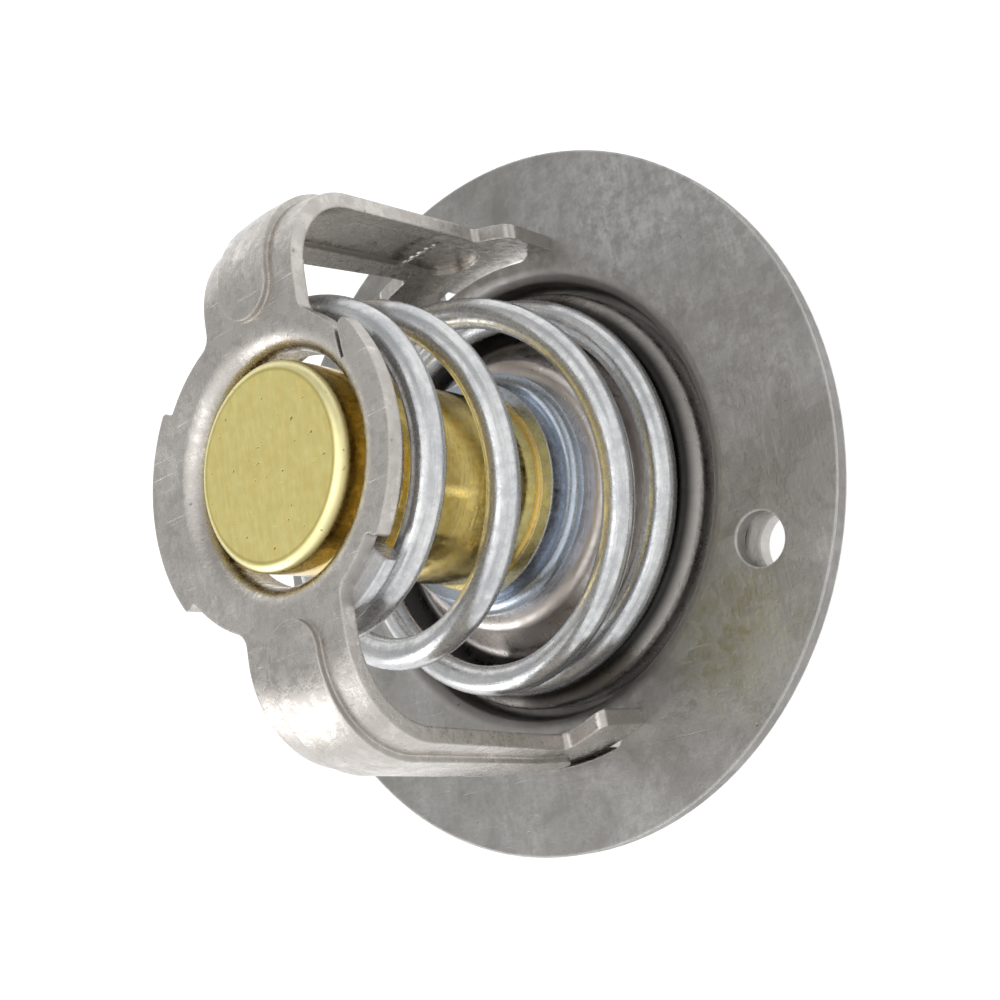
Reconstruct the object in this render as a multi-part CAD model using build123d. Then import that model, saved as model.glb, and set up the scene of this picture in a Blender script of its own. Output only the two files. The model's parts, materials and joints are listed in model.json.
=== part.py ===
from build123d import *
import os
from math import atan, atan2, degrees, hypot, radians, tan

os.makedirs("parts", exist_ok=True)

# Engine thermostat: a flange with a drawn seat, a valve disc carried by a brass wax
# capsule, a return spring held by a pressed frame, and a bridge that holds the piston.
# Lengths are in millimetres. The valve's axis is Z, the flange's face on the capsule
# side is the plane Z = 0, the capsule points to +Z and the frame's arms lie along Y.

# Flange
flange_diameter = 55.0
flange_sheet = 1.2
cup_radius = 17.2
cup_mouth_fold = 1.3
cup_depth = 2.8
cup_floor_fold = 0.5
seat_radius = 14.0
bleed_hole_diameter = 3.9
bleed_hole_offset = 21.9
bleed_hole_angle = 335.5

# Spring frame
frame_sheet = 1.1
plate_height = 25.5
collar_radius = 7.9
collar_depth = 3.4
collar_fold = 1.8
plate_offset = 0.9
ring_radius = 11.0
ear_radius = 12.0
ear_half_angle = 38.0
ear_corner_radius = 0.4
ear_root_fillet = 0.4
relief_width = 0.35
relief_length = 3.4
relief_offset = 10.1
relief_angle = 39.0
relief_lean = -35.0
arm_root_fillet = 1.2
arm_neck_width = 9.4
arm_foot_width = 7.8
arm_top_radius = 19.6
arm_bend_radius = 7.0
foot_radius = 20.7
foot_fold = 6.0
foot_fold_height = 7.0
foot_width = 14.8
foot_height = 4.9
foot_corner_radius = 0.7
foot_throat_radius = 0.5
tongue_width = 7.6
tongue_fold = 0.3
tongue_reach = 2.1
slot_half_angle = 12.0
slot_inner_gap = 0.6
slot_outer_gap = 0.35
rib_width = 4.8
rib_rise = 0.45
rib_plate_start = 10.4
rib_foot_end = 1.4

# Return spring
wire_diameter = 2.3
spring_radius_at_disc = 14.2
spring_radius_at_plate = 10.8
dead_turn_pitch = 2.36
active_turns = 1.72
plate_end_turns = 1.43
spring_start_angle = 248.0
spring_end_grind = 0.5

# Wax capsule and its cover
capsule_radius = 7.1
capsule_end_height = 25.8
capsule_edge_radius = 0.7
capsule_wall = 0.9
capsule_end_wall = 1.2
shoulder_rise = 0.3
crimp_radius = 9.2
crimp_wall = 0.8
crimp_lip = 1.0
cover_thickness = 1.6
guide_radius = 4.4
guide_length = 7.4
guide_chamfer = 0.5
sleeve_wall = 1.3
sleeve_flange = 0.9
sleeve_end_wall = 1.2
washer_thickness = 0.5
washer_width = 1.6
wax_end_gap = 0.1
seat_gap = 0.03

# Piston
piston_diameter = 3.9
piston_top_height = 13.0
piston_chamfer = 0.5
piston_running_gap = 0.05
sleeve_running_gap = 0.09

# Valve disc and its collar
disc_sheet = 0.9
disc_radius = 16.4
disc_bore_gap = 0.15
disc_hub_height = 3.2
disc_hub_radius = 10.2
disc_seat_height = 0.2
disc_seat_start = 12.2
disc_seat_end = 15.2
disc_rim_height = -0.8
disc_hub_fold = 1.2
disc_rim_fold = 0.6
disc_lift_off_seat = 0.05
collar_sheet = 0.9
collar_foot_radius = 9.3
collar_top_height = 6.4
collar_root_fold = 0.8

# Bridge
bridge_sheet = 1.2
bridge_foot_radius = 22.8
bridge_foot_half_angle = 48.0
bridge_wall_gap = 0.5
bridge_shoulder_depth = 7.0
bridge_crown_depth = 13.4
bridge_crown_radius = 6.6
bridge_fold = 1.4
bridge_strap_width = 12.0
socket_depth = 3.2
socket_fold = 0.5
bridge_corner_radius = 1.5
bleed_notch_radius = 2.3
bleed_notch_offset = 23.5
weld_dimple_radius = 0.9
weld_dimple_depth = 0.35
weld_offset = 21.7
weld_angle = 38.0

# Room beyond the object for cutting shapes
beyond = 40.0

# Sizes that follow from those above
flange_radius = flange_diameter / 2
plate_underside = plate_height - frame_sheet
arm_bend_start = arm_top_radius - arm_bend_radius
slot_inner_radius = foot_radius - frame_sheet - slot_inner_gap
slot_outer_radius = foot_radius + slot_outer_gap
slot_mean_radius = (slot_inner_radius + slot_outer_radius) / 2
slot_width = slot_outer_radius - slot_inner_radius
wire_radius = wire_diameter / 2
piston_radius = piston_diameter / 2
body_radius = capsule_radius + shoulder_rise
crimp_top = disc_hub_height - disc_sheet
crimp_under = crimp_top - crimp_wall
cover_top = crimp_under - sleeve_flange
cover_under = cover_top - cover_thickness
cover_radius = crimp_radius - crimp_wall
guide_end = cover_under - guide_length
guide_bore = piston_radius + piston_running_gap
sleeve_bore = piston_radius + sleeve_running_gap
sleeve_radius = sleeve_bore + sleeve_wall
sleeve_end = piston_top_height + sleeve_running_gap + sleeve_end_wall
cavity_radius = capsule_radius - capsule_wall
cavity_top = capsule_end_height - capsule_end_wall
bridge_wall_radius = cup_radius + flange_sheet + bridge_wall_gap
socket_floor = -bridge_crown_depth - socket_depth


def cylinder(radius, low, high):
    return Pos(0, 0, low) * Cylinder(radius, high - low, align=(Align.CENTER, Align.CENTER, Align.MIN))


def tube(outer, inner, low, high):
    return cylinder(outer, low, high) - cylinder(inner, low, high)


def block(x_low, x_high, y_low, y_high, z_low, z_high):
    size = (x_high - x_low, y_high - y_low, z_high - z_low)
    return Pos(x_low, y_low, z_low) * Box(*size, align=(Align.MIN, Align.MIN, Align.MIN))


def turned_sheet(points, folds, thickness, side):
    path = Wire(FilletPolyline(*points, radius=folds).edges())
    section = path.offset_2d(thickness, side=side)
    return revolve(Plane.XZ * make_face(section.edges()), Axis.Z)


def sector(radius, half_angle):
    reach = 2 * radius
    rise = reach * tan(radians(half_angle))
    return Circle(radius) & Polygon((0, 0), (reach, -rise), (reach, rise), align=None)


def both_sides(shape):
    return shape + Rot(0, 0, 180) * shape


def make_flange():
    points = [(flange_radius, 0), (cup_radius, 0), (cup_radius, -cup_depth), (seat_radius, -cup_depth)]
    flange = turned_sheet(points, [cup_mouth_fold, cup_floor_fold], flange_sheet, Side.LEFT)
    slot_arc = CenterArc((0, 0), slot_mean_radius, 90 - slot_half_angle, 2 * slot_half_angle)
    slot = extrude(Pos(0, 0, -flange_sheet) * SlotArc(slot_arc, slot_width), amount=flange_sheet)
    hole_place = Rot(0, 0, bleed_hole_angle) * Pos(bleed_hole_offset, 0, 0)
    hole = hole_place * cylinder(bleed_hole_diameter / 2, -flange_sheet, 0)
    return flange - both_sides(slot) - hole


def plate_outline():
    ears = both_sides(sector(ear_radius, ear_half_angle))
    necks = Rectangle(arm_neck_width, 2 * arm_bend_start + 1)
    plan = Pos(-plate_offset, 0) * (Circle(ring_radius) + ears) + necks

    def corners_at(radius, by_arm):
        found = plan.vertices().filter_by(lambda v: abs(hypot(v.X + plate_offset, v.Y) - radius) < 0.01)
        return found.filter_by(lambda v: (abs(v.X) < arm_neck_width / 2 + 0.01) == by_arm)

    plan = fillet(corners_at(ring_radius, True), arm_root_fillet)
    plan = fillet(corners_at(ring_radius, False), ear_root_fillet)
    return fillet(corners_at(ear_radius, False), ear_corner_radius)


def leg_outline():
    neck = arm_neck_width / 2
    ankle = arm_foot_width / 2
    toe = foot_width / 2
    plan = Polygon(
        (-toe, 0), (toe, 0), (toe, foot_height), (ankle, foot_height), (neck, plate_height),
        (-neck, plate_height), (-ankle, foot_height), (-toe, foot_height), align=None,
    )
    throat = plan.vertices().filter_by(lambda v: abs(v.Y - foot_height) < 0.01 and abs(v.X) < ankle + 0.1)
    plan = fillet(throat, foot_throat_radius)
    corner = plan.vertices().filter_by(lambda v: abs(v.Y - foot_height) < 0.01 and abs(v.X) > toe - 0.1)
    return fillet(corner, foot_corner_radius)


def frame_path(depth):
    return [
        (collar_radius + depth, plate_height - collar_depth),
        (collar_radius + depth, plate_height - depth),
        (arm_top_radius - depth, plate_height - depth),
        (foot_radius - depth, foot_fold_height),
        (foot_radius - depth, 0),
    ]


def rib_outline():
    half = rib_width / 2
    run = block(-half, half, rib_plate_start + half, beyond, rib_foot_end + half, beyond)
    plate_nose = Pos(0, rib_plate_start + half, 0) * cylinder(half, plate_height - beyond, beyond)
    foot_nose = Pos(0, beyond / 2, rib_foot_end + half) * Rot(90, 0, 0) * Cylinder(half, beyond)
    upper = block(-beyond, beyond, 0, beyond, plate_underside - rib_rise, beyond)
    return run + (plate_nose & upper) + foot_nose


def make_spring_frame():
    folds = [collar_fold, arm_bend_radius, foot_fold]
    groove_depth = frame_sheet - rib_rise
    sheet = turned_sheet(frame_path(0), folds, frame_sheet, Side.RIGHT)
    ridge = turned_sheet(frame_path(0), folds, rib_rise, Side.LEFT)
    groove = turned_sheet(
        frame_path(groove_depth), [fold - groove_depth for fold in folds], rib_rise, Side.RIGHT
    )
    plate = extrude(plate_outline(), amount=beyond)
    legs = Rot(90, 0, 0) * extrude(leg_outline(), amount=beyond, both=True)
    legs = legs - cylinder(arm_bend_start, -beyond, beyond)
    ribs = both_sides(rib_outline())
    frame = (sheet & (plate + legs)) + (ridge & ribs) - (groove & ribs)
    relief = Pos(relief_offset, 0, plate_height) * Rot(0, 0, relief_lean)
    frame = frame - Rot(0, 0, relief_angle) * relief * Box(relief_width, relief_length, 3 * frame_sheet)

    hook_points = [
        (foot_radius, foot_throat_radius),
        (foot_radius, -flange_sheet),
        (foot_radius + tongue_reach, -flange_sheet),
    ]
    hook = turned_sheet(hook_points, [tongue_fold], frame_sheet, Side.RIGHT)
    half = tongue_width / 2
    return frame + (hook & block(-half, half, -beyond, beyond, -beyond, beyond))


def turns_of_wire(radius_from, radius_to, height_from, height_to, turns, start_angle):
    climb = height_to - height_from
    lean = degrees(atan((radius_to - radius_from) / climb))
    path = Helix(climb / turns, climb, radius_from, center=(0, 0, height_from), cone_angle=lean)
    return Rot(0, 0, start_angle) * path


def make_main_spring():
    lowest = disc_seat_height + spring_end_grind
    highest = plate_underside - spring_end_grind
    lower_end = lowest + dead_turn_pitch
    upper_start = highest - plate_end_turns * dead_turn_pitch
    wide = spring_radius_at_disc
    narrow = spring_radius_at_plate
    lower = turns_of_wire(wide, wide, lowest, lower_end, 1, spring_start_angle)
    active = turns_of_wire(wide, narrow, lower_end, upper_start, active_turns, spring_start_angle)
    meeting = active @ 1
    upper_angle = degrees(atan2(meeting.Y, meeting.X))
    upper = turns_of_wire(narrow, narrow, upper_start, highest, plate_end_turns, upper_angle)
    path = Wire([*lower.edges(), *active.edges(), *upper.edges()])
    section = Plane(origin=path @ 0, z_dir=path % 0) * Circle(wire_radius)
    spring = sweep(section, path=path, is_frenet=True)
    below = block(-beyond, beyond, -beyond, beyond, -beyond, disc_seat_height)
    above = block(-beyond, beyond, -beyond, beyond, plate_underside, beyond)
    return spring - below - above


def make_valve_disc():
    bore = body_radius + disc_bore_gap
    points = [
        (bore, disc_hub_height),
        (disc_hub_radius, disc_hub_height),
        (disc_seat_start, disc_seat_height),
        (disc_seat_end, disc_seat_height),
        (disc_radius, disc_rim_height),
        (disc_radius, -cup_depth + disc_lift_off_seat),
    ]
    folds = [disc_hub_fold, disc_hub_fold, disc_rim_fold, disc_rim_fold]
    return turned_sheet(points, folds, disc_sheet, Side.RIGHT)


def make_valve_collar():
    wall = body_radius + collar_sheet
    points = [
        (wall, collar_top_height),
        (wall, disc_hub_height + collar_sheet),
        (collar_foot_radius, disc_hub_height + collar_sheet),
    ]
    return turned_sheet(points, [collar_root_fold], collar_sheet, Side.RIGHT)


def make_capsule():
    body = cylinder(capsule_radius, collar_top_height, capsule_end_height)
    rim = body.edges().filter_by(GeomType.CIRCLE).sort_by(Axis.Z)[-1]
    body = fillet(rim, capsule_edge_radius)
    body = body + cylinder(body_radius, crimp_under, collar_top_height)
    body = body + cylinder(crimp_radius, crimp_under, crimp_top)
    body = body - cylinder(cavity_radius, crimp_under, cavity_top)
    skirt = tube(crimp_radius, cover_radius, cover_under, crimp_under)
    lip = tube(crimp_radius, crimp_radius - crimp_lip - crimp_wall, cover_under - crimp_wall, cover_under)
    return body + skirt + lip


def make_capsule_cover():
    cover = cylinder(cover_radius, cover_under, cover_top)
    guide = cylinder(guide_radius, guide_end, cover_under)
    foot = guide.edges().filter_by(GeomType.CIRCLE).sort_by(Axis.Z)[0]
    guide = chamfer(foot, guide_chamfer)
    pocket = cylinder(piston_radius + washer_width, cover_top - washer_thickness, cover_top)
    return cover + guide - pocket - cylinder(guide_bore, guide_end, cover_top)


def make_guide_washer():
    return tube(piston_radius + washer_width, guide_bore, cover_top - washer_thickness, cover_top)


def make_rubber_sleeve():
    foot = cylinder(cover_radius, cover_top, crimp_under)
    sock = cylinder(sleeve_radius, crimp_under, sleeve_end)
    tip = sock.edges().filter_by(GeomType.CIRCLE).sort_by(Axis.Z)[-1]
    sock = fillet(tip, sleeve_wall)
    return foot + sock - cylinder(sleeve_bore, cover_top, sleeve_end - sleeve_end_wall)


def make_wax_charge():
    charge = cylinder(cavity_radius - seat_gap, crimp_under, cavity_top - wax_end_gap)
    hollow = cylinder(sleeve_radius + seat_gap, crimp_under, sleeve_end + seat_gap)
    return charge - hollow


def make_piston():
    rod = cylinder(piston_radius, socket_floor, piston_top_height)
    return chamfer(rod.edges().filter_by(GeomType.CIRCLE), piston_chamfer)


def make_bridge():
    points = [
        (bridge_foot_radius, -flange_sheet),
        (bridge_wall_radius, -flange_sheet),
        (bridge_wall_radius, -bridge_shoulder_depth),
        (bridge_crown_radius, -bridge_crown_depth),
        (piston_radius, -bridge_crown_depth),
        (piston_radius, socket_floor),
        (0, socket_floor),
    ]
    folds = [bridge_fold, bridge_fold, bridge_fold, socket_fold, socket_fold]
    sheet = turned_sheet(points, folds, bridge_sheet, Side.LEFT)
    half = bridge_strap_width / 2
    strap = block(-beyond, beyond, -half, half, -beyond, 0)
    hub = cylinder(bridge_crown_radius, -beyond, 0)
    foot = sector(bridge_foot_radius, bridge_foot_half_angle)
    corners = foot.vertices().filter_by(lambda v: v.X > bridge_crown_radius)
    feet = both_sides(fillet(corners, bridge_corner_radius))
    notch_place = Rot(0, 0, bleed_hole_angle) * Pos(bleed_notch_offset, 0)
    feet = feet - both_sides(notch_place * Circle(bleed_notch_radius))
    foot_zone = extrude(Pos(0, 0, -flange_sheet - bridge_sheet) * feet, amount=bridge_sheet)
    bridge = sheet & (strap + hub + foot_zone)
    dimple = Cone(weld_dimple_radius, weld_dimple_radius / 2, weld_dimple_depth)
    top = -flange_sheet - bridge_sheet - weld_dimple_depth / 2
    for angle in (weld_angle, -weld_angle, 180 + weld_angle, 180 - weld_angle):
        bridge = bridge + Rot(0, 0, angle) * Pos(weld_offset, 0, top) * Rot(180, 0, 0) * dimple
    return bridge


shapes = {
    "flange": make_flange(),
    "bridge": make_bridge(),
    "spring_frame": make_spring_frame(),
    "main_spring": make_main_spring(),
    "valve_disc": make_valve_disc(),
    "valve_collar": make_valve_collar(),
    "capsule": make_capsule(),
    "capsule_cover": make_capsule_cover(),
    "guide_washer": make_guide_washer(),
    "rubber_sleeve": make_rubber_sleeve(),
    "wax_charge": make_wax_charge(),
    "piston": make_piston(),
}

for name, shape in shapes.items():
    export_step(shape, f"parts/{name}.step")
    print(name, round(shape.volume, 1), len(shape.solids()), shape.is_valid, shape.bounding_box())
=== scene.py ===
import json
import math

import bpy
from mathutils import Matrix, Vector

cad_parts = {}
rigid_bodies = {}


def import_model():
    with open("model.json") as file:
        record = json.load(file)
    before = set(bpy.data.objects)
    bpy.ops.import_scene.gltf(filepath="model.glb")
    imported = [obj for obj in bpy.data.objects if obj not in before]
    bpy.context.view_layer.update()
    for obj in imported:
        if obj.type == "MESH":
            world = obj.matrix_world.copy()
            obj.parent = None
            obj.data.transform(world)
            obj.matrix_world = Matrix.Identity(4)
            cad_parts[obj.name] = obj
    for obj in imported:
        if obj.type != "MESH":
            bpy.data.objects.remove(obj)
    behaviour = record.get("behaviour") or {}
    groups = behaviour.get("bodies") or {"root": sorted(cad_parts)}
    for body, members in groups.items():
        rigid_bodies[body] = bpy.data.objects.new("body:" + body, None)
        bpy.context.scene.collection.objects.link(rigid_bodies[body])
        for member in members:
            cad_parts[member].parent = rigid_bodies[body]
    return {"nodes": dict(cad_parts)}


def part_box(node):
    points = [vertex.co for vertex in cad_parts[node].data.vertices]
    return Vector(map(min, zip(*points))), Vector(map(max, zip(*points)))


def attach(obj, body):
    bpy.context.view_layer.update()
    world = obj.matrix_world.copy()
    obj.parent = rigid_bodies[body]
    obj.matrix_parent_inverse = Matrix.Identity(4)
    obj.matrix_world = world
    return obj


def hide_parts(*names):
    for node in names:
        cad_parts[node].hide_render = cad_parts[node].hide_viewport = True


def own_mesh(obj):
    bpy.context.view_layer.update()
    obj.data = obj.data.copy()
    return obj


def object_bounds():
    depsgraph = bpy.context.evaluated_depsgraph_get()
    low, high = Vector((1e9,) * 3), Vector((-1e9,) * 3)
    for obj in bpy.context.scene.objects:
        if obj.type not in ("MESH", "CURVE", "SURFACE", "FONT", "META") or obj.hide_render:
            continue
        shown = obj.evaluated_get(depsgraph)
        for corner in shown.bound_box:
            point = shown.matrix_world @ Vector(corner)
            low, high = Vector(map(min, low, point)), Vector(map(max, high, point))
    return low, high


for leftover in list(bpy.data.objects):
    bpy.data.objects.remove(leftover)

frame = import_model()
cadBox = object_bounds()
nodes = frame["nodes"]
print("packed thermostat loaded,", len(nodes), "nodes")


# The node helpers keep each finish below short.
def addNode(tree, kind, inputs=None, **settings):
    node = tree.nodes.new(kind)
    for name, value in settings.items():
        setattr(node, name, value)
    for name, value in (inputs or {}).items():
        if isinstance(value, bpy.types.NodeSocket):
            tree.links.new(value, node.inputs[name])
        else:
            node.inputs[name].default_value = value
    return node


def calculate(tree, operation, first, second=0.0, clamp=False):
    node = addNode(tree, "ShaderNodeMath", {0: first, 1: second}, operation=operation, use_clamp=clamp)
    return node.outputs[0]


def plus(tree, first, second, clamp=False):
    return calculate(tree, "ADD", first, second, clamp)


def times(tree, first, second):
    return calculate(tree, "MULTIPLY", first, second)


def remap(tree, value, low, high, newLow=0.0, newHigh=1.0):
    limits = {"Value": value, "From Min": low, "From Max": high, "To Min": newLow, "To Max": newHigh}
    return addNode(tree, "ShaderNodeMapRange", limits, interpolation_type="SMOOTHSTEP").outputs["Result"]


def blend(tree, factor, first, second):
    node = addNode(tree, "ShaderNodeMix", data_type="RGBA")
    for socket, value in (("Factor", factor), ("A", first), ("B", second)):
        slots = [s for s in node.inputs if s.name == socket and s.enabled]
        if isinstance(value, bpy.types.NodeSocket):
            tree.links.new(value, slots[0])
        else:
            slots[0].default_value = value
    return [s for s in node.outputs if s.enabled][0]


def coat(tree, colour, mask, strength, paint):
    # Lays a paint over the colour, where the mask is.
    return blend(tree, times(tree, mask, strength), colour, paint)


def grain(tree, place, perMetre, detail=5.0, roughness=0.6,
          stretch=(1, 1, 1), turn=(0, 0, 0), warp=0.0, span=None):
    # Noise or, where a span is given, a mask that is 0 below the span and 1 above it.
    spot = addNode(tree, "ShaderNodeMapping", {"Vector": place, "Rotation": turn, "Scale": stretch})
    settings = {"Vector": spot.outputs[0], "Scale": perMetre, "Detail": detail, "Roughness": roughness,
                "Distortion": warp}
    noise = addNode(tree, "ShaderNodeTexNoise", settings).outputs["Fac"]
    return remap(tree, noise, *span) if span else noise


patchShape = {"border": {"perMetre": 350.0, "detail": 4.0}, "ragged": 0.5, "core": 0.35, "edge": 1.2}


def patch(tree, place, centre, reach, shape):
    # A soft-edged patch round a point of the part, 1 in the middle and 0 outside.
    distance = addNode(tree, "ShaderNodeVectorMath", {0: place, 1: centre}, operation="DISTANCE")
    wobble = times(tree, grain(tree, place, **shape["border"]), shape["ragged"] * reach)
    away = plus(tree, distance.outputs["Value"], wobble)
    return remap(tree, away, reach * shape["core"], reach * shape["edge"], 1.0, 0.0)


lineShape = {"detail": 2.0, "roughness": 0.4, "warp": 0.15}
lineBlur = 0.05


def hairlines(tree, place, perMetre, slender, turn, above):
    # Thin straight marks, 1 on a mark and 0 beside it.
    stretch = (1.0, slender, slender)
    span = (above, above + lineBlur)
    return grain(tree, place, perMetre, stretch=stretch, turn=turn, span=span, **lineShape)


tideShape = {
    "field": {"detail": 8.0, "roughness": 0.62, "warp": 0.5}, "border": 0.5, "borderBlur": 0.015,
    "lineSpan": (0.002, 0.016),
}


def tideMarks(tree, place, perMetre, shape):
    # Flat patches with ragged borders, as dried water leaves them, and the thin line round each.
    field = grain(tree, place, perMetre, **shape["field"])
    inside = remap(tree, field, shape["border"] - shape["borderBlur"], shape["border"] + shape["borderBlur"])
    away = calculate(tree, "ABSOLUTE", calculate(tree, "SUBTRACT", field, shape["border"]))
    return inside, remap(tree, away, *shape["lineSpan"], 1.0, 0.0)


def startFinish(name, metallic, tint):
    material = bpy.data.materials.new(name)
    material.use_nodes = True
    material.diffuse_color = tint
    tree = material.node_tree
    shader = tree.nodes["Principled BSDF"]
    shader.inputs["Metallic"].default_value = metallic
    place = addNode(tree, "ShaderNodeTexCoord").outputs["Object"]
    return material, tree, shader, place


bevelSamples = 3
cornerSpan = (0.99, 0.78)  # the cosine between a rounded normal and the face's own


def roundEdges(tree, radius):
    # Normals that round the edges, and a mask that is 1 along them.
    rounded = addNode(tree, "ShaderNodeBevel", {"Radius": radius}, samples=bevelSamples).outputs["Normal"]
    plain = addNode(tree, "ShaderNodeNewGeometry").outputs["Normal"]
    facing = addNode(tree, "ShaderNodeVectorMath", {0: rounded, 1: plain}, operation="DOT_PRODUCT")
    return rounded, remap(tree, facing.outputs["Value"], *cornerSpan)


def finishSurface(tree, shader, colour, roughness, relief, depth, rounded):
    bump = addNode(tree, "ShaderNodeBump", {"Strength": 1.0, "Distance": depth, "Height": relief,
                                            "Normal": rounded})
    tree.links.new(colour, shader.inputs["Base Color"])
    tree.links.new(roughness, shader.inputs["Roughness"])
    tree.links.new(bump.outputs["Normal"], shader.inputs["Normal"])


def directionParts(tree, vector):
    return addNode(tree, "ShaderNodeSeparateXYZ", {0: vector}).outputs


def distanceFromAxis(tree, place):
    x, y, z = directionParts(tree, place)
    squares = plus(tree, times(tree, x, x), times(tree, y, y))
    return calculate(tree, "SQRT", squares), z


def coatBands(tree, colour, away, bands, where=1.0):
    # Rings round the axis: start, end and blur in metres, then the paint and its strength.
    for start, end, blur, paint, strength in bands:
        inner = remap(tree, away, start - blur, start + blur)
        outer = remap(tree, away, end - blur, end + blur, strength, 0.0)
        colour = coat(tree, colour, times(tree, inner, outer), where, paint)
    return colour


# Where the sheets' cut edges lie: distances and heights in metres, and how a face is turned.
cutEdges = {
    "rimAway": (0.0271, 0.0273), "rimUpright": (0.3, 0.6),
    "plateAway": (0.0094, 0.0097), "plateHeight": (0.0243, 0.0244),
    "armSideways": (0.5, 0.7), "plateUpright": (0.2, 0.5),
}


def flangeCutEdge(tree, place):
    away, _ = distanceFromAxis(tree, place)
    normal = addNode(tree, "ShaderNodeNewGeometry").outputs["True Normal"]
    level = calculate(tree, "ABSOLUTE", directionParts(tree, normal)["Z"])
    upright = remap(tree, level, *cutEdges["rimUpright"], 1.0, 0.0)
    return times(tree, remap(tree, away, *cutEdges["rimAway"]), upright)


def frameCutEdge(tree, place):
    away, height = distanceFromAxis(tree, place)
    normal = directionParts(tree, addNode(tree, "ShaderNodeNewGeometry").outputs["True Normal"])
    sideways = remap(tree, calculate(tree, "ABSOLUTE", normal["X"]), *cutEdges["armSideways"])
    upright = remap(tree, calculate(tree, "ABSOLUTE", normal["Z"]), *cutEdges["plateUpright"], 1.0, 0.0)
    outside = remap(tree, away, *cutEdges["plateAway"])
    onPlate = times(tree, remap(tree, height, *cutEdges["plateHeight"]), outside)
    return calculate(tree, "MAXIMUM", times(tree, upright, onPlate), times(tree, sideways, outside))


# Grains that the rolled sheets share: marks per metre, and the span that a mask is cut from.
steelGrain = {
    "cloud": {"detail": 6.0, "roughness": 0.65, "span": (0.36, 0.64)},
    "mottle": {"detail": 6.0, "roughness": 0.72, "span": (0.38, 0.64)}, "mottlesPerCloud": 7,
    "rolling": {"perMetre": 260.0, "detail": 5.0, "roughness": 0.65}, "rollingSpan": (0.40, 0.60),
    "rollingShare": 0.6,
    "fine": {"perMetre": 2600.0, "detail": 3.0, "roughness": 0.6, "span": (0.38, 0.62)}, "fineShare": 0.4,
    "pits": {"perMetre": 1300.0, "detail": 3.0, "roughness": 0.5, "span": (0.70, 0.76)},
    "marks": {"perMetre": 130.0, "slender": 60.0, "turn": (0.2, 0.1, 0.5), "above": 0.71},
    "crossing": {"perMetre": 190.0, "slender": 45.0, "turn": (0.1, 0.3, -1.1), "above": 0.72},
    "tideLineShare": 0.6, "cutEdgeDull": 0.08,
    "rollingRelief": 0.4, "mottleRelief": 0.25, "pitRelief": 0.8,
}


# Rolled steel sheet: tide marks, mottled dull patches, faint rolling grain, hairlines, painted shade on the
# cut edges and a painted highlight along the edges. Bands are rings round the axis of painted shade or
# painted highlight.
def rolledSteel(name, look):
    material, tree, shader, place = startFinish(name, 1.0, look["bright"])
    shared = steelGrain
    rounded, corners = roundEdges(tree, look["edgeRadius"])
    away, _ = distanceFromAxis(tree, place)
    cloud = grain(tree, place, look["cloudScale"], **shared["cloud"])
    mottle = grain(tree, place, look["cloudScale"] * shared["mottlesPerCloud"], **shared["mottle"])
    tide, tideLine = tideMarks(tree, place, look["tideScale"], tideShape)
    rolling = grain(tree, place, stretch=look["rollingStretch"], **shared["rolling"])
    rolled = remap(tree, rolling, *shared["rollingSpan"], 0.0, shared["rollingShare"])
    drawn = plus(tree, rolled, times(tree, grain(tree, place, **shared["fine"]), shared["fineShare"]))
    pits = grain(tree, place, **shared["pits"])

    colour = blend(tree, cloud, look["bright"], look["dull"])
    for centre, reach, stain, strength in look["stains"]:
        colour = coat(tree, colour, patch(tree, place, centre, reach, patchShape), strength, stain)
    colour = coat(tree, colour, mottle, look["mottle"], look["dull"])
    colour = coat(tree, colour, drawn, look["drawn"], look["dull"])
    colour = coat(tree, colour, tide, look["tide"], look["tideColour"])
    colour = coat(tree, colour, tideLine, look["tide"] * shared["tideLineShare"], look["dull"])
    colour = coatBands(tree, colour, away, look["bands"])
    colour = coat(tree, colour, pits, look["pits"], look["pitColour"])
    roughness = remap(tree, mottle, 0.0, 1.0, *look["roughness"])
    roughness = plus(tree, roughness, times(tree, tide, look["tideDull"]))
    # Painted shade: the cut edges are painted darker than the faces.
    if "cutEdge" in look:
        cut = look["cutEdge"](tree, place)
        colour = coat(tree, colour, cut, look["cutShade"], look["cutColour"])
        roughness = plus(tree, roughness, times(tree, cut, shared["cutEdgeDull"]), True)
    # Painted highlight: the colour is lightened along the rounded edges.
    colour = coat(tree, colour, corners, look["edgeHighlight"], look["edgeHighlightColour"])

    marks = hairlines(tree, place, **shared["marks"])
    scratched = calculate(tree, "MAXIMUM", marks, hairlines(tree, place, **shared["crossing"]))
    relief = times(tree, rolling, shared["rollingRelief"])
    relief = plus(tree, relief, times(tree, mottle, shared["mottleRelief"]))
    relief = calculate(tree, "SUBTRACT", relief, times(tree, scratched, look["scratches"]))
    relief = calculate(tree, "SUBTRACT", relief, times(tree, pits, shared["pitRelief"]))
    finishSurface(tree, shader, colour, roughness, relief, look["reliefDepth"], rounded)
    return material


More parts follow.
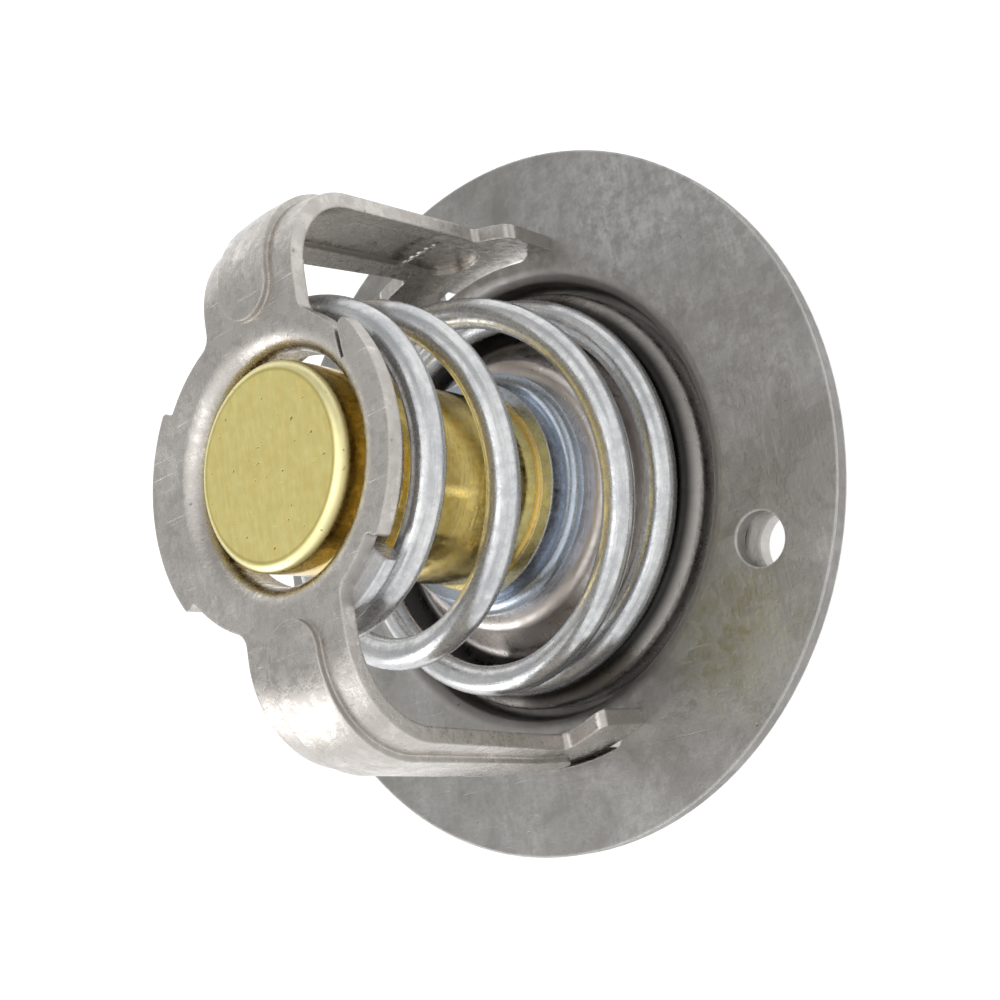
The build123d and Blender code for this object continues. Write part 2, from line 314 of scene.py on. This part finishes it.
flangeLook = {
    "bright": (0.47, 0.46, 0.445, 1), "dull": (0.285, 0.275, 0.26, 1), "cloudScale": 120.0, "mottle": 0.75,
    "tideScale": 190.0, "tide": 0.16, "tideColour": (0.50, 0.495, 0.485, 1), "tideDull": 0.02,
    "rollingStretch": (9.0, 1.0, 1.0), "drawn": 0.5, "roughness": (0.34, 0.48), "reliefDepth": 0.00004,
    "stains": [
        # centre and reach in metres, then the stain's colour and strength
        ((0.0150, 0.0190, 0.0), 0.0130, (0.66, 0.665, 0.665, 1), 0.7),
        ((0.0160, -0.0145, 0.0), 0.0085, (0.31, 0.28, 0.14, 1), 0.85),
        ((0.0166, 0.0198, 0.0), 0.0040, (0.27, 0.27, 0.265, 1), 0.35),
        ((0.0250, -0.0055, 0.0), 0.0085, (0.25, 0.23, 0.21, 1), 0.75),
    ],
    "bands": [
        # painted highlight: the mouth's rounded fold lighter; painted shade: the cup wall inside it dark
        (0.0, 0.0182, 0.0003, (0.50, 0.48, 0.46, 1), 0.7),
        (0.0, 0.0172, 0.0002, (0.12, 0.115, 0.11, 1), 0.8),
    ],
    "pits": 0.5, "pitColour": (0.13, 0.12, 0.11, 1), "scratches": 0.3,
    # painted shade on the rim's cut edge
    "cutEdge": flangeCutEdge, "cutShade": 0.6, "cutColour": (0.27, 0.265, 0.255, 1),
    "edgeRadius": 0.00028, "edgeHighlight": 0.95, "edgeHighlightColour": (0.97, 0.96, 0.94, 1),
}
frameLook = {
    "bright": (0.82, 0.78, 0.74, 1), "dull": (0.50, 0.47, 0.44, 1), "cloudScale": 170.0, "mottle": 0.65,
    "tideScale": 260.0, "tide": 0.65, "tideColour": (0.52, 0.49, 0.46, 1), "tideDull": 0.06,
    "rollingStretch": (7.0, 1.0, 1.0), "drawn": 0.6, "roughness": (0.16, 0.32), "reliefDepth": 0.00004,
    "stains": [
        ((-0.004, 0.0155, 0.0255), 0.0045, (0.44, 0.415, 0.39, 1), 0.5),
        ((-0.0025, -0.0100, 0.0255), 0.0030, (0.50, 0.46, 0.44, 1), 0.5),
    ],
    "bands": [],
    "pits": 0.5, "pitColour": (0.20, 0.18, 0.16, 1), "scratches": 0.35,
    # painted shade on the plate's and arms' cut edges
    "cutEdge": frameCutEdge, "cutShade": 0.35, "cutColour": (0.45, 0.43, 0.40, 1),
    "edgeRadius": 0.00020, "edgeHighlight": 0.5, "edgeHighlightColour": (0.88, 0.86, 0.83, 1),
}
discLook = {
    "bright": (0.86, 0.80, 0.76, 1), "dull": (0.64, 0.58, 0.55, 1), "cloudScale": 150.0, "mottle": 0.5,
    "tideScale": 130.0, "tide": 0.3, "tideColour": (0.74, 0.69, 0.66, 1), "tideDull": 0.05,
    "rollingStretch": (6.0, 1.0, 1.0), "drawn": 0.4, "roughness": (0.26, 0.40), "reliefDepth": 0.00003,
    "stains": [],
    "bands": [
        # painted shade: the outer ring, and darkest the seat under the spring; painted highlight: a bright
        # line at the rim
        (0.0148, 0.0200, 0.0004, (0.34, 0.32, 0.30, 1), 0.95),
        (0.0122, 0.0158, 0.0004, (0.02, 0.019, 0.018, 1), 0.97),
        (0.0163, 0.0200, 0.0001, (0.95, 0.93, 0.90, 1), 0.8),
    ],
    "pits": 0.3, "pitColour": (0.15, 0.13, 0.12, 1), "scratches": 0.3,
    "edgeRadius": 0.00020, "edgeHighlight": 0.8, "edgeHighlightColour": (0.90, 0.88, 0.85, 1),
}
collarLook = {
    "bright": (0.62, 0.69, 0.78, 1), "dull": (0.42, 0.47, 0.55, 1), "cloudScale": 150.0, "mottle": 0.5,
    "tideScale": 150.0, "tide": 0.3, "tideColour": (0.54, 0.60, 0.70, 1), "tideDull": 0.03,
    "rollingStretch": (1.0, 1.0, 6.0), "drawn": 0.3, "roughness": (0.18, 0.28), "reliefDepth": 0.00002,
    "stains": [],
    # painted highlight: a bright ring on the collar's outer rim
    "bands": [(0.0094, 0.0200, 0.0001, (0.95, 0.96, 0.98, 1), 0.8)],
    "pits": 0.3, "pitColour": (0.10, 0.10, 0.11, 1), "scratches": 0.3,
    "edgeRadius": 0.00018, "edgeHighlight": 0.8, "edgeHighlightColour": (0.92, 0.93, 0.95, 1),
}
bridgeLook = {
    "bright": (0.62, 0.605, 0.58, 1), "dull": (0.46, 0.445, 0.42, 1), "cloudScale": 150.0, "mottle": 0.6,
    "tideScale": 120.0, "tide": 0.5, "tideColour": (0.50, 0.49, 0.47, 1), "tideDull": 0.06,
    "rollingStretch": (6.0, 1.0, 1.0), "drawn": 0.5, "roughness": (0.28, 0.42), "reliefDepth": 0.00004,
    "stains": [((0.0, 0.0, -0.0146), 0.0050, (0.40, 0.37, 0.32, 1), 0.5)],
    "bands": [],
    "pits": 0.5, "pitColour": (0.16, 0.15, 0.13, 1), "scratches": 0.35,
    "edgeRadius": 0.00022, "edgeHighlight": 0.5, "edgeHighlightColour": (0.84, 0.83, 0.81, 1),
}


# What the turned brass shares: its grains, and zones by height and distance from the axis in metres.
brassGrain = {
    "cloud": {"perMetre": 240.0, "detail": 6.0, "roughness": 0.65, "span": (0.35, 0.65)},
    "mottle": {"perMetre": 1500.0, "detail": 4.0, "roughness": 0.7, "span": (0.36, 0.66)},
    "brushed": {"perMetre": 420.0, "roughness": 0.7, "stretch": (6.0, 1.0, 1.0), "turn": (0.0, 0.0, 0.15),
                "span": (0.40, 0.60)},
    "specks": {"perMetre": 1900.0, "detail": 2.0, "roughness": 0.4, "span": (0.70, 0.74)},
    "marks": {"perMetre": 700.0, "slender": 6.0, "turn": (0.0, 0.0, 1.45), "above": 0.72},
    "rings": {"perMetre": 300.0, "detail": 2.0, "roughness": 0.5, "stretch": (1.0, 1.0, 14.0)},
    "endHeight": (0.0249, 0.0252), "bandHeight": (0.0244, 0.0248), "footHeight": (0.0070, 0.0092),
    "footRagged": 0.0015, "mouthHeight": (0.0215, 0.0240), "mouthAway": (0.0069, 0.00705),
    "endTint": 0.85, "mottleTint": 0.45, "brushedTint": 0.30, "specksOnSide": 0.35, "speckDull": 0.2,
    "ringRelief": 0.25, "mottleRelief": 0.10, "speckRelief": 0.6, "reliefDepth": 0.00003,
}


# Turned brass: yellow-green face with dark specks, short marks and brown dirt at the foot.
def turnedBrass(name, look):
    material, tree, shader, place = startFinish(name, 1.0, look["bright"])
    shared = brassGrain
    rounded, corners = roundEdges(tree, look["edgeRadius"])
    away, height = distanceFromAxis(tree, place)
    cloud = grain(tree, place, **shared["cloud"])
    mottle = grain(tree, place, **shared["mottle"])
    onEnd = remap(tree, height, *shared["endHeight"])
    brushed = times(tree, grain(tree, place, **shared["brushed"]), onEnd)
    flecks = calculate(tree, "MAXIMUM", grain(tree, place, **shared["specks"]),
                       hairlines(tree, place, **shared["marks"]))
    dark = times(tree, flecks, remap(tree, onEnd, 0.0, 1.0, shared["specksOnSide"], 1.0))
    ragged = plus(tree, height, times(tree, cloud, shared["footRagged"]))
    foot = remap(tree, ragged, *shared["footHeight"], 1.0, 0.0)
    mouth = times(tree, remap(tree, height, *shared["mouthHeight"]), remap(tree, away, *shared["mouthAway"]))

    colour = blend(tree, cloud, look["bright"], look["dull"])
    colour = coat(tree, colour, onEnd, shared["endTint"], look["endColour"])
    colour = coat(tree, colour, mottle, shared["mottleTint"], look["pale"])
    colour = coat(tree, colour, brushed, shared["brushedTint"], look["dull"])
    # Bands on the end face, among them a painted highlight on the rim.
    colour = coatBands(tree, colour, away, look["bands"], remap(tree, height, *shared["bandHeight"]))
    colour = coat(tree, colour, dark, look["specks"], look["speckColour"])
    colour = coat(tree, colour, foot, look["footDirt"], look["brownColour"])
    # Browner round the outer side a little below the end face.
    colour = coat(tree, colour, mouth, look["mouthBrown"], look["brownColour"])
    # Painted highlight: the colour is lightened along the rounded edges.
    colour = coat(tree, colour, corners, look["edgeHighlight"], look["edgeHighlightColour"])

    roughness = remap(tree, mottle, 0.0, 1.0, *look["roughness"])
    roughness = plus(tree, roughness, times(tree, onEnd, look["endDull"]))
    roughness = plus(tree, roughness, times(tree, dark, shared["speckDull"]))
    relief = times(tree, grain(tree, place, **shared["rings"]), shared["ringRelief"])
    relief = plus(tree, relief, times(tree, mottle, shared["mottleRelief"]))
    relief = calculate(tree, "SUBTRACT", relief, times(tree, dark, shared["speckRelief"]))
    finishSurface(tree, shader, colour, roughness, relief, shared["reliefDepth"], rounded)
    return material


brassLook = {
    "bright": (0.94, 0.72, 0.23, 1), "dull": (0.84, 0.61, 0.16, 1), "pale": (0.94, 0.82, 0.38, 1),
    "endColour": (0.95, 0.87, 0.35, 1), "endDull": 0.18,
    "bands": [
        # painted highlight: a pale ring on the rounded rim; then a thin dark ring where the rounded edge
        # starts
        (0.0065, 0.0080, 0.0001, (0.98, 0.94, 0.58, 1), 0.6),
        (0.0063, 0.0065, 0.0001, (0.50, 0.42, 0.12, 1), 0.6),
    ],
    "specks": 0.85, "speckColour": (0.30, 0.22, 0.06, 1), "footDirt": 0.2, "mouthBrown": 0.3,
    "brownColour": (0.30, 0.17, 0.05, 1), "edgeHighlight": 0.7, "edgeHighlightColour": (0.97, 0.95, 0.66, 1),
    "roughness": (0.10, 0.18), "edgeRadius": 0.0003,
}
# The cover lies below all of the brass zones, so it has no end face, bands or dirt.
coverLook = {
    **brassLook,
    "bright": (0.78, 0.60, 0.22, 1), "dull": (0.66, 0.49, 0.16, 1), "pale": (0.80, 0.68, 0.34, 1),
    "bands": [], "specks": 0.6, "speckColour": (0.24, 0.17, 0.06, 1), "footDirt": 0.0, "mouthBrown": 0.0,
    "edgeHighlight": 0.5, "edgeHighlightColour": (0.88, 0.80, 0.48, 1), "roughness": (0.24, 0.36),
    "edgeRadius": 0.0002,
}

rodLook = {
    "colour": (0.72, 0.72, 0.73, 1), "hazeColour": (0.60, 0.60, 0.60, 1), "roughness": (0.10, 0.22),
    "haze": {"perMetre": 300.0, "span": (0.4, 0.7)},
    "rings": {"perMetre": 500.0, "detail": 3.0, "roughness": 0.5, "stretch": (1.0, 1.0, 12.0)},
    "reliefDepth": 0.00001, "edgeRadius": 0.0001,
}


# Ground and polished rod.
def polishedRod(name, look):
    material, tree, shader, place = startFinish(name, 1.0, look["colour"])
    haze = grain(tree, place, **look["haze"])
    colour = blend(tree, haze, look["colour"], look["hazeColour"])
    roughness = remap(tree, haze, 0.0, 1.0, *look["roughness"])
    rounded, _ = roundEdges(tree, look["edgeRadius"])
    rings = grain(tree, place, **look["rings"])
    finishSurface(tree, shader, colour, roughness, rings, look["reliefDepth"], rounded)
    return material


# Wax, rubber and slippery plastic, seen only when the thermostat is taken apart.
polymerGrain = {
    "cloud": {"perMetre": 500.0, "span": (0.35, 0.65)}, "skin": {"perMetre": 3000.0, "detail": 3.0},
    "roughnessSwing": 0.06, "reliefDepth": 0.00002,
}
rubberLook = {
    "colour": (0.045, 0.045, 0.045, 1), "shade": (0.065, 0.063, 0.06, 1), "roughness": 0.62,
    "edgeRadius": 0.0002,
}
waxLook = {
    "colour": (0.55, 0.36, 0.22, 1), "shade": (0.48, 0.30, 0.18, 1), "roughness": 0.45, "edgeRadius": 0.0003,
}
washerLook = {
    "colour": (0.88, 0.88, 0.85, 1), "shade": (0.82, 0.82, 0.78, 1), "roughness": 0.40, "edgeRadius": 0.0001,
}


def plainPolymer(name, look):
    material, tree, shader, place = startFinish(name, 0.0, look["colour"])
    shared = polymerGrain
    swing = shared["roughnessSwing"]
    cloud = grain(tree, place, **shared["cloud"])
    colour = blend(tree, cloud, look["colour"], look["shade"])
    roughness = remap(tree, cloud, 0.0, 1.0, look["roughness"] - swing, look["roughness"] + swing)
    rounded, _ = roundEdges(tree, look["edgeRadius"])
    skin = grain(tree, place, **shared["skin"])
    finishSurface(tree, shader, colour, roughness, skin, shared["reliefDepth"], rounded)
    return material


wireLook = {
    "metallic": 0.8, "bright": (0.74, 0.745, 0.75, 1), "dull": (0.56, 0.575, 0.60, 1),
    "grey": (0.47, 0.475, 0.48, 1), "rubbedColour": (0.80, 0.80, 0.79, 1), "roughness": (0.15, 0.28),
    # a streak's stretch says how often it repeats along the wire and how often round it
    "streaks": {"perMetre": 1.0, "detail": 4.0, "stretch": (9.0, 9.0, 1.0)}, "streakSpan": (0.50, 0.66),
    "fineStreaks": {"perMetre": 1.0, "detail": 3.0, "stretch": (24.0, 40.0, 1.0)}, "fineSpan": (0.52, 0.64),
    "cloud": {"perMetre": 260.0, "detail": 6.0, "roughness": 0.7, "span": (0.36, 0.64)},
    "mottle": {"perMetre": 1500.0, "roughness": 0.7, "span": (0.38, 0.66)},
    "rubbed": {"perMetre": 900.0, "detail": 3.0, "roughness": 0.5, "span": (0.68, 0.74)},
    "mottleTint": 0.45, "streakTint": 0.6, "fineTint": 0.4, "rubbedTint": 0.6, "cloudDull": 0.08,
    "streakRelief": 0.6, "fineRelief": 0.4, "mottleRelief": 0.10, "reliefDepth": 0.00003,
    "edgeRadius": 0.0001,
}


# Plated spring wire: streaks drawn along the wire, dull bluish patches and small rubbed marks.
def platedWire(name, look):
    material, tree, shader, place = startFinish(name, look["metallic"], look["bright"])
    along = addNode(tree, "ShaderNodeTexCoord").outputs["UV"]
    streaks = grain(tree, along, **look["streaks"])
    fineStreaks = grain(tree, along, **look["fineStreaks"])
    bright = remap(tree, streaks, *look["streakSpan"])
    dull = remap(tree, fineStreaks, *look["fineSpan"])
    cloud = grain(tree, place, **look["cloud"])
    mottle = grain(tree, place, **look["mottle"])
    rubbed = grain(tree, place, **look["rubbed"])
    colour = blend(tree, cloud, look["bright"], look["dull"])
    colour = coat(tree, colour, mottle, look["mottleTint"], look["grey"])
    colour = coat(tree, colour, bright, look["streakTint"], look["rubbedColour"])
    colour = coat(tree, colour, dull, look["fineTint"], look["grey"])
    colour = coat(tree, colour, rubbed, look["rubbedTint"], look["rubbedColour"])
    roughness = remap(tree, mottle, 0.0, 1.0, *look["roughness"])
    roughness = plus(tree, roughness, times(tree, cloud, look["cloudDull"]))
    relief = times(tree, streaks, look["streakRelief"])
    relief = plus(tree, relief, times(tree, fineStreaks, look["fineRelief"]))
    relief = plus(tree, relief, times(tree, mottle, look["mottleRelief"]))
    rounded, _ = roundEdges(tree, look["edgeRadius"])
    finishSurface(tree, shader, colour, roughness, relief, look["reliefDepth"], rounded)
    return material


finishes = {
    "flange": rolledSteel("flange_steel", flangeLook),
    "bridge": rolledSteel("bridge_steel", bridgeLook),
    "spring_frame": rolledSteel("frame_steel", frameLook),
    "valve_disc": rolledSteel("disc_steel", discLook),
    "valve_collar": rolledSteel("collar_steel", collarLook),
    "capsule": turnedBrass("capsule_brass", brassLook),
    "capsule_cover": turnedBrass("cover_brass", coverLook),
    "piston": polishedRod("piston_steel", rodLook),
    "rubber_sleeve": plainPolymer("sleeve_rubber", rubberLook),
    "wax_charge": plainPolymer("capsule_wax", waxLook),
    "guide_washer": plainPolymer("washer_plastic", washerLook),
}
for nodeName, finish in finishes.items():
    for slot in nodes[nodeName].material_slots:
        slot.material = finish
print("finishes given to", len(finishes), "nodes")

# The return spring, wound as one wire with closed ends that are ground flat, in metres and turns.
springShape = {
    "wireRadius": 0.00115, "coilAtDisc": 0.0142, "coilAtPlate": 0.0108,
    "discEndTurns": 1.0, "activeTurns": 1.7523, "plateEndTurns": 1.43, "closedPitch": 0.00236,
    "startAngle": math.radians(248.0), "grindDepth": 0.0005,
    "stepsPerTurn": 150, "sidesOfWire": 32, "easing": math.radians(30.0), "easingSamples": 4,
    "streaksPerMetre": 20,
}


def springHeight(angle, shape, low, high):
    # Height of the wire's centre, after so many radians of winding from the disc's end.
    closedEnd = shape["discEndTurns"] * 2 * math.pi
    activeEnd = closedEnd + shape["activeTurns"] * 2 * math.pi
    rise = shape["closedPitch"] / (2 * math.pi)
    first = low + closedEnd * rise
    last = high - shape["plateEndTurns"] * shape["closedPitch"]
    if angle < closedEnd:
        return low + angle * rise
    if angle < activeEnd:
        return first + (last - first) * (angle - closedEnd) / (activeEnd - closedEnd)
    return last + (angle - activeEnd) * rise


def windSpring(shape, low, high):
    turns = shape["discEndTurns"] + shape["activeTurns"] + shape["plateEndTurns"]
    closedEnd = shape["discEndTurns"] * 2 * math.pi
    activeEnd = closedEnd + shape["activeTurns"] * 2 * math.pi
    ends = (low + shape["grindDepth"], high - shape["grindDepth"])
    steps = int(turns * shape["stepsPerTurn"])
    samples = shape["easingSamples"]
    line = []
    for step in range(steps + 1):
        angle = turns * 2 * math.pi * step / steps
        window = min(shape["easing"], angle, turns * 2 * math.pi - angle)
        shifts = [window * k / samples for k in range(-samples, samples + 1)]
        around = [springHeight(angle + shift, shape, *ends) for shift in shifts]
        share = min(max((angle - closedEnd) / (activeEnd - closedEnd), 0.0), 1.0)
        radius = shape["coilAtDisc"] + (shape["coilAtPlate"] - shape["coilAtDisc"]) * share
        turned = angle + shape["startAngle"]
        height = sum(around) / len(around)
        line.append(Vector((radius * math.cos(turned), radius * math.sin(turned), height)))

    sides = shape["sidesOfWire"]
    points, faces, wireUv = [], [], []
    travelled = 0.0
    for index, centre in enumerate(line):
        ahead = line[min(index + 1, steps)] - line[max(index - 1, 0)]
        outward = Vector((centre.x, centre.y, 0)).normalized()
        across = ahead.cross(outward).normalized()
        outward = across.cross(ahead).normalized()
        if index:
            travelled += (centre - line[index - 1]).length
        for side in range(sides):
            turn = 2 * math.pi * side / sides
            spot = centre - (outward * math.cos(turn) + across * math.sin(turn)) * shape["wireRadius"]
            spot.z = min(max(spot.z, low), high)  # the ground ends
            points.append(spot)
        wireUv.append(travelled)
    for index in range(steps):
        for side in range(sides):
            here = index * sides + side
            beside = index * sides + (side + 1) % sides
            faces.append((here, here + sides, beside + sides, beside))
    faces.append(tuple(range(sides)))
    faces.append(tuple(reversed(range(steps * sides, (steps + 1) * sides))))

    mesh = bpy.data.meshes.new("return_spring")
    mesh.from_pydata(points, [], faces)
    layer = mesh.uv_layers.new(name="wire")
    for polygon in mesh.polygons:
        wraps = polygon.index < steps * sides and polygon.index % sides == sides - 1
        for corner, loop in zip(polygon.vertices, polygon.loop_indices):
            aroundWire = (corner % sides) / sides
            if wraps and corner % sides == 0:
                aroundWire = 1.0
            layer.data[loop].uv = (wireUv[corner // sides] * shape["streaksPerMetre"], aroundWire)
        polygon.use_smooth = polygon.index < steps * sides
    spring = bpy.data.objects.new("return_spring", mesh)
    bpy.context.scene.collection.objects.link(spring)
    return spring


springLow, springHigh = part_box("main_spring")
returnSpring = windSpring(springShape, springLow.z, springHigh.z)
returnSpring.data.materials.append(platedWire("spring_wire", wireLook))
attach(returnSpring, "body")
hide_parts("main_spring")
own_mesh(returnSpring)
print("spring wound,", len(returnSpring.data.polygons), "faces")

# Floor, light and camera
studio = {
    # the floor's outline from the middle outwards, as radius and height in metres
    "floorRings": [(0.3, 0.0), (1.5, 0.0), (1.75, 0.06), (1.9, 0.22), (1.95, 0.45), (1.95, 0.85)],
    "floorSides": 96, "floorGap": 0.0002, "floorColour": (0.36, 0.36, 0.36, 1), "floorGlow": 0.85,
    "skyTop": 0.56, "skyShadowSide": 0.38, "lightSide": (0.15, -0.95, 0.27), "sideFade": (-1.0, -0.3),
    "windows": [
        # direction, cosine where it starts, cosine where it is full, brightness added
        ((0.10, -0.15, 0.98), 0.70, 0.84, 0.66),
        ((0.90, -0.35, 0.25), 0.60, 0.90, 0.46),
        ((-0.50, -0.75, 0.45), 0.74, 0.90, 0.60),
    ],
    "panels": [
        # place in metres, width and height in metres, watts
        ((0.02, -0.06, 0.34), 0.14, 0.18, 0.06),
        ((-0.25, -0.16, 0.135), 0.15, 0.18, 0.17),
    ],
    "aim": (0.0, 0.0, 0.010),
    "diffuseBounces": 2,
}
cameraSpot = {
    "place": (0.070816, -0.029930, 0.088948),
    "right": (0.73235, -0.16918, -0.65957), "up": (0.29545, 0.95167, 0.08394),
    "forward": (-0.61349, 0.25634, -0.74694),
    "lens": 54.0, "sensorWidth": 36.0, "nearest": 0.005,
}


def layFloor(settings, height):
    # A round floor that sweeps up into a low backdrop.
    sides = settings["floorSides"]
    points = [(0, 0, height)]
    faces = []
    for ring, (radius, rise) in enumerate(settings["floorRings"]):
        for side in range(sides):
            turn = 2 * math.pi * side / sides
            points.append((radius * math.cos(turn), radius * math.sin(turn), height + rise))
            here = ring * sides + side + 1
            beside = ring * sides + (side + 1) % sides + 1
            if ring == 0:
                faces.append((0, here, beside))
            else:
                faces.append((here - sides, here, beside, beside - sides))
    mesh = bpy.data.meshes.new("studio_floor")
    mesh.from_pydata(points, [], faces)
    for polygon in mesh.polygons:
        polygon.use_smooth = True
    floor = bpy.data.objects.new("studio_floor", mesh)
    bpy.context.scene.collection.objects.link(floor)
    material = bpy.data.materials.new("floor_paper")
    material.use_nodes = True
    tree = material.node_tree
    tree.nodes.clear()
    path = addNode(tree, "ShaderNodeLightPath")
    seen = plus(tree, path.outputs["Is Camera Ray"], path.outputs["Is Glossy Ray"])
    seen = plus(tree, seen, path.outputs["Is Transmission Ray"], True)
    glow = addNode(tree, "ShaderNodeEmission", {"Strength": times(tree, seen, settings["floorGlow"])})
    paper = addNode(tree, "ShaderNodeBsdfDiffuse", {"Color": settings["floorColour"]})
    both = addNode(tree, "ShaderNodeAddShader", {0: glow.outputs[0], 1: paper.outputs[0]})
    addNode(tree, "ShaderNodeOutputMaterial", {"Surface": both.outputs[0]})
    mesh.materials.append(material)


def hangPanel(place, width, height, watts, aim):
    light = bpy.data.lights.new("soft_panel", "AREA")
    light.shape = "RECTANGLE"
    light.size = width
    light.size_y = height
    light.energy = watts
    panel = bpy.data.objects.new("soft_panel", light)
    bpy.context.scene.collection.objects.link(panel)
    panel.location = place
    panel.rotation_euler = (Vector(aim) - Vector(place)).to_track_quat("-Z", "Y").to_euler()


def towards(tree, direction, aim):
    # The cosine between a direction and an aim.
    facing = addNode(tree, "ShaderNodeVectorMath", {0: direction, 1: aim}, operation="DOT_PRODUCT")
    return facing.outputs["Value"]


def paintSky(settings):
    world = bpy.data.worlds.new("studio_sky")
    bpy.context.scene.world = world
    world.use_nodes = True
    tree = world.node_tree
    direction = addNode(tree, "ShaderNodeTexCoord").outputs["Generated"]
    side = towards(tree, direction, settings["lightSide"])
    glow = remap(tree, side, *settings["sideFade"], settings["skyShadowSide"], settings["skyTop"])
    brightest = 0.0
    for aim, start, full, added in settings["windows"]:
        window = remap(tree, towards(tree, direction, aim), start, full, 0.0, added)
        brightest = calculate(tree, "MAXIMUM", window, brightest)
    tree.links.new(plus(tree, glow, brightest), tree.nodes["Background"].inputs["Strength"])
    tree.nodes["Background"].inputs["Color"].default_value = (1, 1, 1, 1)


def setCamera(spot):
    lens = bpy.data.cameras.new("photo_camera")
    lens.lens = spot["lens"]
    lens.sensor_width = spot["sensorWidth"]
    lens.clip_start = spot["nearest"]
    camera = bpy.data.objects.new("photo_camera", lens)
    bpy.context.scene.collection.objects.link(camera)
    columns = (Vector(spot["right"]), Vector(spot["up"]), -Vector(spot["forward"]))
    turn = Matrix(columns).transposed().to_4x4()
    camera.matrix_world = Matrix.Translation(spot["place"]) @ turn
    bpy.context.scene.camera = camera


layFloor(studio, cadBox[0].z - studio["floorGap"])
for place, width, height, watts in studio["panels"]:
    hangPanel(place, width, height, watts, studio["aim"])
paintSky(studio)
setCamera(cameraSpot)
bpy.context.scene.view_settings.view_transform = "Standard"
bpy.context.scene.cycles.diffuse_bounces = studio["diffuseBounces"]
print("floor, light and camera placed")
